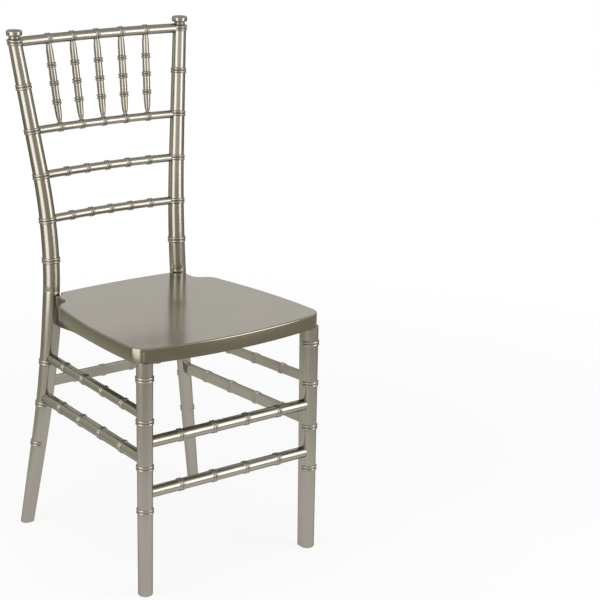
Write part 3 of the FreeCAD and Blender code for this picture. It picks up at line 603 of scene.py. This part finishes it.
def opposite(point):
    """The same point on the other side of the chair."""
    return Vector((-point.x, point.y, point.z))

for node, z in FRONT_HEIGHTS.items():
    end = leg_axis(z)
    keep(stretcher(node, opposite(end), end, FRONT_RADIUS, -BACKWARDS, FRONT_SPACING), [node])
end = post_axis(REAR_HEIGHT)
keep(stretcher("rear_stretcher", opposite(end), end, REAR_RADIUS, BACKWARDS), ["rear_stretcher"])
for level, (front_z, rear_z, radius) in SIDE_LEVELS.items():
    right_node = "right_%s_stretcher" % level
    left_node = "left_%s_stretcher" % level
    bar = stretcher(right_node, leg_axis(front_z * MM), post_axis(rear_z * MM), radius * MM, RIGHTWARDS)
    keep(bar, [right_node])
    keep(mirror_copy(bar, left_node + "_turned"), [left_node])

# %% [markdown]
# The seat is a moulded shell: a flat glossy plate with a skirt that curves round the front legs and is
# cut back round the posts. Its outline could be a bezier curve, but seven arcs through measured points
# are easier to keep true: the rear edge, the wrap round the post, two arcs for the ear of the notch,
# the side, the front corner and the front edge. Sizes in this cell are millimetres.

# %% Outline of the seat
REAR_MIDDLE = (0.0, 171.0)
REAR_STEPS = 24
WRAP = 18.6
WRAP_PAST = 2
NOTCH_LENGTH = 26
EAR_MIDDLE = (3.9, -12.6)
EAR_TIP = (12.4, -18.7)
EAR_RETURN = (13.2, -10.0)
SIDE_REAR = (170.8, 74.5)
SIDE_MIDDLE = (189.0, -60)
SIDE_FRONT = (192.6, -181.5)
CORNER_MIDDLE = (182.6, -205.5)
FRONT_END = (163.3, -215.2)
FRONT_MIDDLE = (0, -231.5)
FRONT_STEPS = 28

def arc_points(start, middle, end, steps):
    """Points on the arc through three points, without the last one."""
    ax, ay = start
    bx, by = middle
    cx, cy = end
    double = 2 * (ax * (by - cy) + bx * (cy - ay) + cx * (ay - by))
    a2, b2, c2 = ax * ax + ay * ay, bx * bx + by * by, cx * cx + cy * cy
    ox = (a2 * (by - cy) + b2 * (cy - ay) + c2 * (ay - by)) / double
    oy = (a2 * (cx - bx) + b2 * (ax - cx) + c2 * (bx - ax)) / double
    radius = math.hypot(ax - ox, ay - oy)
    first = math.atan2(ay - oy, ax - ox)
    turn = (math.atan2(cy - oy, cx - ox) - first) % (2 * math.pi)
    through = (math.atan2(by - oy, bx - ox) - first) % (2 * math.pi)
    if through > turn:
        turn -= 2 * math.pi
    angles = [first + turn * step / steps for step in range(steps)]
    return [(ox + radius * math.cos(a), oy + radius * math.sin(a)) for a in angles]

def shifted(point, offset):
    """A point moved by an offset."""
    return (point[0] + offset[0], point[1] + offset[1])

def across(point):
    """The same point of the outline on the other side."""
    return (-point[0], point[1])

def seat_outline():
    """Right half of the seat's outline, from the rear middle to the front middle."""
    post = post_axis(SEAT_FRONT_Z)
    post_place = (post.x / MM, (post.y + MID_DEPTH) / MM)
    reach = math.sqrt(WRAP ** 2 - WRAP_PAST ** 2)
    wrap_start = shifted(post_place, (-reach, -WRAP_PAST))
    wrap_middle = shifted(post_place, (-WRAP * math.sqrt(0.5), -WRAP * math.sqrt(0.5)))
    wrap_end = shifted(post_place, (WRAP_PAST, -reach))
    ear_start = shifted(wrap_end, (0, -NOTCH_LENGTH))
    ear_tip = shifted(ear_start, EAR_TIP)
    points = arc_points(across(wrap_start), REAR_MIDDLE, wrap_start, REAR_STEPS)[REAR_STEPS // 2:]
    points += arc_points(wrap_start, wrap_middle, wrap_end, 10)
    points.append(wrap_end)
    points += arc_points(ear_start, shifted(ear_start, EAR_MIDDLE), ear_tip, 6)
    points += arc_points(ear_tip, shifted(ear_tip, EAR_RETURN), SIDE_REAR, 9)
    points += arc_points(SIDE_REAR, SIDE_MIDDLE, SIDE_FRONT, 12)
    points += arc_points(SIDE_FRONT, CORNER_MIDDLE, FRONT_END, 14)
    points += arc_points(FRONT_END, FRONT_MIDDLE, across(FRONT_END), FRONT_STEPS)[:FRONT_STEPS // 2 + 1]
    return points

print("half of the seat's outline has", len(seat_outline()), "points")

# %% [markdown]
# An outline becomes a face as it would by hand: a plane is merged to one vertex, the vertex is
# extruded from point to point, and the closed line is filled. The seat falls 4 mm to the back. It is
# drawn level, which keeps every step simple, and tilted last, about its front edge.

# %% Fill an outline and tilt it with the seat
SEAT_FALL = 4.2 / 403.5
SEAT_FRONT_Y = -232.5 * MM

def fill_outline(outline):
    """Draws a closed outline point by point from one vertex, fills it and leaves it in edit mode."""
    bpy.ops.object.select_all(action="DESELECT")
    bpy.ops.mesh.primitive_plane_add(size=1 * MM, location=(0, 0, 0))
    bpy.ops.object.mode_set(mode="EDIT")
    bpy.ops.mesh.select_all(action="SELECT")
    bpy.ops.mesh.merge(type="CENTER")
    bpy.ops.transform.translate(value=outline[0])
    for before, after in zip(outline, outline[1:]):
        move_extruded(after - before)
    bpy.ops.mesh.select_all(action="SELECT")
    bpy.ops.mesh.edge_face_add()
    bpy.ops.mesh.normals_make_consistent(inside=False)

def tilt_with_seat():
    """Tilts all that is in edit mode as the seat falls. With no window a plus turns the back down."""
    bpy.ops.mesh.select_all(action="SELECT")
    pivot = (0, SEAT_FRONT_Y - MID_DEPTH, SEAT_FRONT_Z)
    fall = math.atan(SEAT_FALL)
    bpy.ops.transform.rotate(value=fall, orient_axis="X", orient_type="GLOBAL", center_override=pivot)

print("the seat falls by", round(math.degrees(math.atan(SEAT_FALL)), 2), "degrees")

# %% [markdown]
# The filled outline is extruded down to make the skirt, its underside is inset by the wall and pushed
# up again, which hollows it. The top edge is bevelled round, which gives the thin line of light along
# the front. A last narrow inset keeps that rounding out of the flat top's shading.

# %% Seat shell
LEVEL = 0.1 * MM
SEAT_SKIRT = 25.5 * MM
SEAT_PLATE = 5 * MM
SEAT_WALL = 3 * MM
SEAT_ROUND = 2.5 * MM
TOP_INSET = 0.8 * MM

def seat_shell():
    """The moulded seat, drawn level and then tilted to its place."""
    half = seat_outline()
    other = [across(point) for point in half[1:-1]]
    fill_outline([Vector((x * MM, y * MM, 0)) for x, y in half + other[::-1]])
    move_extruded((0, 0, -SEAT_SKIRT))
    pick(lambda co: co.z < -SEAT_SKIRT / 2)
    bpy.ops.mesh.inset(thickness=SEAT_WALL, use_even_offset=True)
    move_extruded((0, 0, SEAT_SKIRT - SEAT_PLATE))
    pick(lambda co: abs(co.z) < LEVEL)
    bpy.ops.mesh.bevel(offset=SEAT_ROUND, segments=5, affect="EDGES")
    pick(lambda co: abs(co.z) < LEVEL / 10)
    bpy.ops.mesh.inset(thickness=TOP_INSET, use_even_offset=True)
    bpy.ops.mesh.select_all(action="SELECT")
    bpy.ops.mesh.normals_make_consistent(inside=False)
    bpy.ops.transform.translate(value=(0, -MID_DEPTH, SEAT_FRONT_Z))
    tilt_with_seat()
    return finish_bar("seat_shell_moulded", smooth_angle=35)

keep(seat_shell(), ["seat_shell"])

# %% [markdown]
# Under the shell two deep side rails tie the front legs to the back posts. Each is a board on edge
# that deepens towards the post, and only that lower edge shows under the skirt. It is drawn in its
# own upright plane, given its thickness by one extrude, and its lower edges are softened.

# %% Side rails of the seat frame
SIDE_RAIL_DEPTHS = (
    (0, 34.0), (80, 34.5), (120, 37.5), (160, 41.0), (200, 43.2), (240, 44.0), (260, 44.7), (277, 46.0),
    (294, 48.2), (312, 50.2), (325, 51.3), (355, 51.5),
)
SIDE_RAIL_WIDTH = 14 * MM
SIDE_RAIL_FRONT_X = 167 * MM
SIDE_RAIL_BEHIND_LEG = 13 * MM
SIDE_RAIL_INSIDE_POST = 8.6 * MM
SIDE_RAIL_SOFT_BELOW = 30 * MM
SIDE_RAIL_ROUND = 1.2 * MM

def side_rail():
    """The right side rail, from the front leg's rear face into the back post."""
    post = post_axis(SEAT_FRONT_Z)
    top = SEAT_FRONT_Z - SEAT_PLATE
    front = Vector((SIDE_RAIL_FRONT_X, LEG_FOOT.y + SIDE_RAIL_BEHIND_LEG, top))
    rear = Vector((post.x - SIDE_RAIL_INSIDE_POST, post.y, top))
    along = (rear - front).normalized()
    sideways = along.cross(UPWARDS)
    lower_edge = [front + along * place * MM - UPWARDS * (depth * MM) for place, depth in SIDE_RAIL_DEPTHS]
    outline = [front, *lower_edge, Vector((lower_edge[-1].x, lower_edge[-1].y, top))]
    fill_outline([point - sideways * SIDE_RAIL_WIDTH / 2 for point in outline])
    move_extruded(sideways * SIDE_RAIL_WIDTH)
    pick(lambda co: co.z < top - SIDE_RAIL_SOFT_BELOW)
    bpy.ops.mesh.bevel(offset=SIDE_RAIL_ROUND, segments=3, affect="EDGES")
    tilt_with_seat()
    return finish_bar("right_seat_rail_shaped", smooth_angle=30)

right_rail = side_rail()
left_rail = mirror_copy(right_rail, "left_seat_rail_shaped")
keep(right_rail, ["right_seat_rail"])
keep(left_rail, ["left_seat_rail"])

# %% [markdown]
# The finish is a champagne metallic paint. Its colour comes from fine flakes, so it mirrors like a
# dull metal: fully metallic, with a colour that varies a little in soft clouds and from flake to
# flake, and a faint orange peel. The turned parts have a thin clear coat and a darker edge tint, which
# keeps their outlines dark. The seat is polished instead, so it is smoother and mirrors the post.

# %% Paint
def new_material(name):
    """A material with its nodes, its links and its shader."""
    material = bpy.data.materials.new(name)
    material.use_nodes = True
    nodes = material.node_tree.nodes
    return material, nodes, material.node_tree.links, nodes["Principled BSDF"]

def in_space(nodes, links, kind, **values):
    """Node that reads the place on the piece, with its values set."""
    place = nodes.new("ShaderNodeTexCoord")
    node = nodes.new(kind)
    for name, value in values.items():
        node.inputs[name].default_value = value
    links.new(place.outputs["Object"], node.inputs["Vector"])
    return node

def scaled_range(nodes, middle, share):
    """Map range from a middle value less a share to the middle value plus that share."""
    spread = nodes.new("ShaderNodeMapRange")
    spread.inputs["To Min"].default_value = middle * (1 - share)
    spread.inputs["To Max"].default_value = middle * (1 + share)
    return spread

def paint(name, colour, edge_tint, roughness, coat):
    """Champagne metallic paint: fine flakes, soft clouds, a slight orange peel and a clear coat."""
    material, nodes, links, shader = new_material(name)
    shader.inputs["Metallic"].default_value = 1.0
    shader.inputs["Specular Tint"].default_value = edge_tint
    shader.inputs["Coat Weight"].default_value = coat
    shader.inputs["Coat Roughness"].default_value = 0.1

    clouds = in_space(nodes, links, "ShaderNodeTexNoise", Scale=7, Detail=3)
    tone = nodes.new("ShaderNodeValToRGB")
    for element, position, share in zip(tone.color_ramp.elements, (0.3, 0.7), (0.95, 1.05)):
        element.position = position
        element.color = [value * share for value in colour] + [1]
    links.new(clouds.outputs["Fac"], tone.inputs["Fac"])

    flakes = in_space(nodes, links, "ShaderNodeTexVoronoi", Scale=1500)
    glint = scaled_range(nodes, 1, 0.02)
    links.new(flakes.outputs["Color"], glint.inputs["Value"])
    mixed = nodes.new("ShaderNodeVectorMath")
    mixed.operation = "SCALE"
    links.new(tone.outputs["Color"], mixed.inputs[0])
    links.new(glint.outputs["Result"], mixed.inputs["Scale"])
    links.new(mixed.outputs["Vector"], shader.inputs["Base Color"])

    rough = scaled_range(nodes, roughness, 0.1)
    links.new(clouds.outputs["Fac"], rough.inputs["Value"])
    links.new(rough.outputs["Result"], shader.inputs["Roughness"])

    peel = in_space(nodes, links, "ShaderNodeTexNoise", Scale=90, Detail=1)
    bump = nodes.new("ShaderNodeBump")
    bump.inputs["Strength"].default_value = 0.02
    bump.inputs["Distance"].default_value = 0.1 * MM
    links.new(peel.outputs["Fac"], bump.inputs["Height"])
    links.new(bump.outputs["Normal"], shader.inputs["Normal"])
    return material

FRAME_COLOUR = (0.35, 0.33, 0.285)
FRAME_EDGE_TINT = (0.4, 0.39, 0.36, 1)
SEAT_COLOUR = (0.272, 0.248, 0.196)
SEAT_EDGE_TINT = (1, 1, 1, 1)
frame_paint = paint("champagne_frame", FRAME_COLOUR, FRAME_EDGE_TINT, roughness=0.25, coat=0.15)
seat_paint = paint("champagne_seat", SEAT_COLOUR, SEAT_EDGE_TINT, roughness=0.17, coat=0.0)
for name, piece in pieces.items():
    piece.data.materials.clear()
    piece.data.materials.append(seat_paint if name == "seat_shell_moulded" else frame_paint)
print("painted", len(pieces), "pieces")

# %% [markdown]
# The cross rails of the seat frame can't be seen from outside, so they keep their solids, and get the
# frame's paint in their slots. The four screws that hold the seat are bare zinc plated steel, cool and
# a little blotchy, so a noise moves their tone between two greys.

# %% Steel of the screws
DARK_ZINC = (0.42, 0.43, 0.45, 1)
LIGHT_ZINC = (0.6, 0.61, 0.62, 1)

def screw_steel():
    """Zinc plated steel with faint blotches."""
    material, nodes, links, shader = new_material("zinc_steel")
    shader.inputs["Metallic"].default_value = 1.0
    shader.inputs["Roughness"].default_value = 0.35
    blotches = in_space(nodes, links, "ShaderNodeTexNoise", Scale=400)
    tone = nodes.new("ShaderNodeValToRGB")
    tone.color_ramp.elements[0].color = DARK_ZINC
    tone.color_ramp.elements[1].color = LIGHT_ZINC
    links.new(blotches.outputs["Fac"], tone.inputs["Fac"])
    links.new(tone.outputs["Color"], shader.inputs["Base Color"])
    return material

steel = screw_steel()
for name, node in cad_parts.items():
    for slot in range(len(node.material_slots)):
        node.material_slots[slot].material = steel if name == "seat_screws" else frame_paint
print("finished the slots of", len(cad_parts), "packed nodes")

# %% [markdown]
# The chair stands on white paper in a studio. The floor is drawn nearly white for the camera and in
# the metal, and keeps a share of its real light, which holds the chair's shadow. That share fades out
# with the distance, so the paper has no edge. More light would whiten it too, but would also bleach
# the paint.

# %% White paper
PAPER = (0.92, 0.92, 0.92, 1)
WHITE_SHARE = 0.86
WHITE_FROM = 0.6
WHITE_BEYOND = 1.8
FLOOR_SIZE = 40

def seen_or_mirrored(nodes, links):
    """One where a ray comes from the camera or from a mirror or a glass, and zero elsewhere."""
    path = nodes.new("ShaderNodeLightPath")
    total = path.outputs["Is Camera Ray"]
    for kind in ("Is Glossy Ray", "Is Transmission Ray"):
        either = nodes.new("ShaderNodeMath")
        either.operation = "MAXIMUM"
        links.new(total, either.inputs[0])
        links.new(path.outputs[kind], either.inputs[1])
        total = either.outputs["Value"]
    return total

def distance_away(nodes, links):
    """Distance from the chair's middle."""
    away = in_space(nodes, links, "ShaderNodeVectorMath")
    away.operation = "LENGTH"
    return away.outputs["Value"]

def paper():
    """White paper that keeps the shadow."""
    material, nodes, links, shader = new_material("white_paper")
    shader.inputs["Base Color"].default_value = PAPER
    shader.inputs["Roughness"].default_value = 0.9
    shader.inputs["Specular IOR Level"].default_value = 0.0
    glow = nodes.new("ShaderNodeEmission")
    glow.inputs["Color"].default_value = (1, 1, 1, 1)
    glow.inputs["Strength"].default_value = 1.0
    white = nodes.new("ShaderNodeMapRange")
    white.inputs["From Min"].default_value = WHITE_FROM
    white.inputs["From Max"].default_value = WHITE_BEYOND
    white.inputs["To Min"].default_value = WHITE_SHARE
    white.inputs["To Max"].default_value = 1.0
    links.new(distance_away(nodes, links), white.inputs["Value"])
    share = nodes.new("ShaderNodeMath")
    share.operation = "MULTIPLY"
    links.new(seen_or_mirrored(nodes, links), share.inputs[0])
    links.new(white.outputs["Result"], share.inputs[1])
    mix = nodes.new("ShaderNodeMixShader")
    links.new(share.outputs["Value"], mix.inputs["Fac"])
    links.new(shader.outputs["BSDF"], mix.inputs[1])
    links.new(glow.outputs["Emission"], mix.inputs[2])
    links.new(mix.outputs["Shader"], nodes["Material Output"].inputs["Surface"])
    return material

bpy.ops.object.select_all(action="DESELECT")
bpy.ops.mesh.primitive_plane_add(size=FLOOR_SIZE, location=(0, 0, 0))
floor = bpy.context.object
floor.name = "studio_floor"
floor.data.materials.append(paper())
print("floor", FLOOR_SIZE, "m wide")

# %% [markdown]
# The world behind the paper is white in the same way, where the camera or the metal sees it. As a
# lamp it is only half as strong, so that it doesn't wash out the soft lights.

# %% World
WORLD_AS_LAMP = 0.5

def studio_world():
    """White where it is seen or mirrored, softer as a lamp."""
    world = bpy.data.worlds.new("studio")
    bpy.context.scene.world = world
    world.use_nodes = True
    nodes = world.node_tree.nodes
    links = world.node_tree.links
    background = nodes["Background"]
    background.inputs["Color"].default_value = (1, 1, 1, 1)
    strength = nodes.new("ShaderNodeMapRange")
    strength.inputs["To Min"].default_value = WORLD_AS_LAMP
    strength.inputs["To Max"].default_value = 1.0
    links.new(seen_or_mirrored(nodes, links), strength.inputs["Value"])
    links.new(strength.outputs["Result"], background.inputs["Strength"])
    return world

world = studio_world()
print("world", world.name)

# %% [markdown]
# Bright metal on white needs something dark to mirror, or it looks like paper. Photographers use dark
# cloths out of the picture for this. Here glowing sheets stand in for such cloths and for the lit paper
# near the chair, as painted reflections. A sheet's tone depends on the distance from the chair, in two
# rows: one for the front and one for behind, blended over a metre or so, which paints how the light
# falls away. The sheets glow by themselves, though no lamp lights them, and only the metal sees them.
# The camera and the light pass them.

# %% Material of a painted reflection
REFLECTION_RADIUS = 4.5
FRONT_ENDS_AT = -0.4
BACK_STARTS_AT = 0.9

def tone_ramp(nodes, tones):
    """Painted reflection's colour by distance from the chair, from pairs of a distance in metres and a
    colour.
    """
    ramp = nodes.new("ShaderNodeValToRGB")
    while len(ramp.color_ramp.elements) < len(tones):
        ramp.color_ramp.elements.new(0.5)
    for element, (distance, colour) in zip(ramp.color_ramp.elements, tones):
        element.position = distance / REFLECTION_RADIUS
        element.color = colour + (1,)
    return ramp

def painted_reflection_material(name, front, back):
    """Glowing sheet of painted reflection, with its tones by distance in front of the chair and behind it.
    """
    material, nodes, links, shader = new_material(name)
    share = nodes.new("ShaderNodeMath")
    share.operation = "DIVIDE"
    share.inputs[1].default_value = REFLECTION_RADIUS
    links.new(distance_away(nodes, links), share.inputs[0])
    along = in_space(nodes, links, "ShaderNodeSeparateXYZ")
    turn = nodes.new("ShaderNodeMapRange")
    turn.inputs["From Min"].default_value = FRONT_ENDS_AT
    turn.inputs["From Max"].default_value = BACK_STARTS_AT
    links.new(along.outputs["Y"], turn.inputs["Value"])
    both = nodes.new("ShaderNodeMix")
    both.data_type = "RGBA"
    links.new(turn.outputs["Result"], both.inputs["Factor"])
    for tones, socket in ((front, both.inputs[6]), (back, both.inputs[7])):
        ramp = tone_ramp(nodes, tones)
        links.new(share.outputs["Value"], ramp.inputs["Fac"])
        links.new(ramp.outputs["Color"], socket)
    # The sheet glows by itself though it is no lamp: this glow is the painted reflection.
    glow = nodes.new("ShaderNodeEmission")
    links.new(both.outputs[2], glow.inputs["Color"])
    links.new(glow.outputs["Emission"], nodes["Material Output"].inputs["Surface"])
    nodes.remove(shader)
    return material

def hang_painted_reflection(name, front, back):
    """Names the active object, gives it its glowing painted reflection and leaves it to mirrors only."""
    reflection_sheet = bpy.context.object
    reflection_sheet.name = name
    reflection_sheet.data.materials.append(painted_reflection_material(name, front, back))
    reflection_sheet.visible_camera = False
    reflection_sheet.visible_diffuse = False
    reflection_sheet.visible_transmission = False
    reflection_sheet.visible_shadow = False
    print(name, "hung")

print("cloths reach", REFLECTION_RADIUS, "m")

# %% [markdown]
# One painted reflection lies on the floor round the paper at the feet, white next to it, dimmer with
# the distance and dimmest behind, which paints how the paper's light falls away. One hangs all round,
# lower than what the seat mirrors, a painted dark reflection. A third is a dim glowing disc overhead,
# a painted dark reflection for the tops of the level bars, and the last hangs at the left behind the
# chair, a painted reflection for the side stretchers.

# %% Hang the painted reflections
PAPER_RADIUS = 0.5
FLOOR_REFLECTION_Z = 0.002
HANGING_TOP = 1.25
# Painted reflection of the lit paper: white at the feet, dimmer with the distance, in front and behind.
FRONT_REFLECTION_TONES = [
    (0.5, (1.0, 1.0, 0.98)), (0.9, (0.85, 0.83, 0.78)), (1.5, (0.48, 0.46, 0.40)),
    (4.5, (0.48, 0.46, 0.40)),
]
BACK_REFLECTION_TONES = [
    (0.5, (1.0, 1.0, 0.95)), (0.9, (0.78, 0.79, 0.68)), (1.5, (0.55, 0.555, 0.45)),
    (2.4, (0.25, 0.25, 0.21)), (4.5, (0.2, 0.2, 0.18)),
]
# The dim disc overhead is a painted dark reflection for the tops of the level bars.
CANOPY_Z = 2.4
CANOPY_RADIUS = 3
CANOPY_REFLECTION_TONE = [(0, (0.5, 0.48, 0.43))]
# The sheet at the left behind the chair is a painted reflection for the side stretchers.
SIDE_REFLECTION_PLACE = (-2.0, 2.6, 1.5)
SIDE_REFLECTION_TURN = (math.radians(90), 0, math.radians(38))
SIDE_REFLECTION_SCALE = (3.2, 3.2, 3.0)
SIDE_REFLECTION_TONE = [(0, (0.7, 0.7, 0.58))]

# A glowing ring of painted reflection on the floor round the paper, seen only in the metal.
bpy.ops.object.select_all(action="DESELECT")
low_place = (0, 0, FLOOR_REFLECTION_Z)
bpy.ops.mesh.primitive_circle_add(vertices=64, radius=REFLECTION_RADIUS, fill_type="NGON", location=low_place)
bpy.ops.object.mode_set(mode="EDIT")
bpy.ops.mesh.select_all(action="SELECT")
bpy.ops.mesh.inset(thickness=REFLECTION_RADIUS - PAPER_RADIUS)
bpy.ops.mesh.delete(type="FACE")
bpy.ops.object.mode_set(mode="OBJECT")
hang_painted_reflection("floor_painted_reflection", FRONT_REFLECTION_TONES, BACK_REFLECTION_TONES)

# A glowing wall of painted dark reflection all round, seen only in the metal.
bpy.ops.object.select_all(action="DESELECT")
bpy.ops.mesh.primitive_cylinder_add(
    vertices=64, radius=REFLECTION_RADIUS, depth=HANGING_TOP, end_fill_type="NOTHING",
    location=(0, 0, HANGING_TOP / 2),
)
hang_painted_reflection("hanging_painted_reflection", FRONT_REFLECTION_TONES, BACK_REFLECTION_TONES)

# A dim glowing disc overhead: painted dark reflection, seen only in the metal.
bpy.ops.object.select_all(action="DESELECT")
high_place = (0, 0, CANOPY_Z)
bpy.ops.mesh.primitive_circle_add(vertices=64, radius=CANOPY_RADIUS, fill_type="NGON", location=high_place)
hang_painted_reflection("overhead_painted_reflection", CANOPY_REFLECTION_TONE, CANOPY_REFLECTION_TONE)

# A glowing sheet at the left behind the chair: painted reflection, seen only in the metal.
bpy.ops.object.select_all(action="DESELECT")
bpy.ops.mesh.primitive_plane_add(size=1, location=SIDE_REFLECTION_PLACE, rotation=SIDE_REFLECTION_TURN)
bpy.ops.transform.resize(value=SIDE_REFLECTION_SCALE)
hang_painted_reflection("side_painted_reflection", SIDE_REFLECTION_TONE, SIDE_REFLECTION_TONE)

# %% [markdown]
# Two tall soft lights stand left and right of the camera. They give every round bar its two bright
# lines, so their places and widths were chosen by where those lines lie on the back posts. A wide one
# overhead only fills the shadows on the paper, so the metal doesn't mirror it. A light's power grows
# with its size, so it is worked out from the brightness of its face.

# %% Soft lights
CAMERA_AZIMUTH = -37.6

def soft_light(name, place, width, tall, radiance):
    """Soft light with an oblong face of a given brightness, which the camera doesn't see."""
    bpy.ops.object.light_add(type="AREA", location=place)
    light = bpy.context.object
    light.name = name
    light.data.shape = "RECTANGLE"
    light.data.size = width
    light.data.size_y = tall
    light.data.energy = radiance * math.pi * width * tall
    light.visible_camera = False
    print(name, "watts", round(light.data.energy, 1))
    return light

def softbox(name, beside_camera, distance, height, **face):
    """Upright soft light that looks at the chair, at an angle in degrees beside the camera."""
    azimuth = math.radians(CAMERA_AZIMUTH + beside_camera)
    place = Vector((math.sin(azimuth) * distance, -math.cos(azimuth) * distance, height))
    light = soft_light(name, place, **face)
    light.rotation_euler = (Vector((0, 0, height)) - place).to_track_quat("-Z", "Y").to_euler()

softbox("left_softbox", -44, distance=1.2, height=0.92, width=0.92, tall=1.5, radiance=2.3)
softbox("right_softbox", 72, distance=1.5, height=0.88, width=0.75, tall=1.15, radiance=3.2)
overhead = soft_light("overhead_softbox", (0, 0, 3.2), width=2.0, tall=2.0, radiance=1.0)
overhead.visible_glossy = False

# %% [markdown]
# The camera stands where the photographer stood: in front, to the sitter's right, half a metre above
# the crest rail, with a long lens. Its place and its three axes come from matching the chair's rings,
# which is more exact than turning it by eye.

# %% Camera
CAMERA_PLACE = Vector((-1.72531, -2.63145 - MID_DEPTH, 1.39587))
CAMERA_RIGHT = Vector((0.79506, -0.60628, 0.01735))
CAMERA_UP = Vector((0.16115, 0.23873, 0.95762))
CAMERA_BACK = Vector((-0.58473, -0.75857, 0.28750))
FOCAL_PIXELS = 1832.81
IMAGE_PIXELS = 600
camera_data = bpy.data.cameras.new("studio_camera")
camera = bpy.data.objects.new("studio_camera", camera_data)
bpy.context.scene.collection.objects.link(camera)
camera_data.sensor_width = 36
camera_data.lens = FOCAL_PIXELS * camera_data.sensor_width / IMAGE_PIXELS
axes = Matrix((CAMERA_RIGHT, CAMERA_UP, CAMERA_BACK)).transposed().to_4x4()
camera.matrix_world = Matrix.Translation(CAMERA_PLACE) @ axes
bpy.context.scene.camera = camera
bpy.context.scene.view_settings.view_transform = "Standard"
print("lens", round(camera_data.lens, 2))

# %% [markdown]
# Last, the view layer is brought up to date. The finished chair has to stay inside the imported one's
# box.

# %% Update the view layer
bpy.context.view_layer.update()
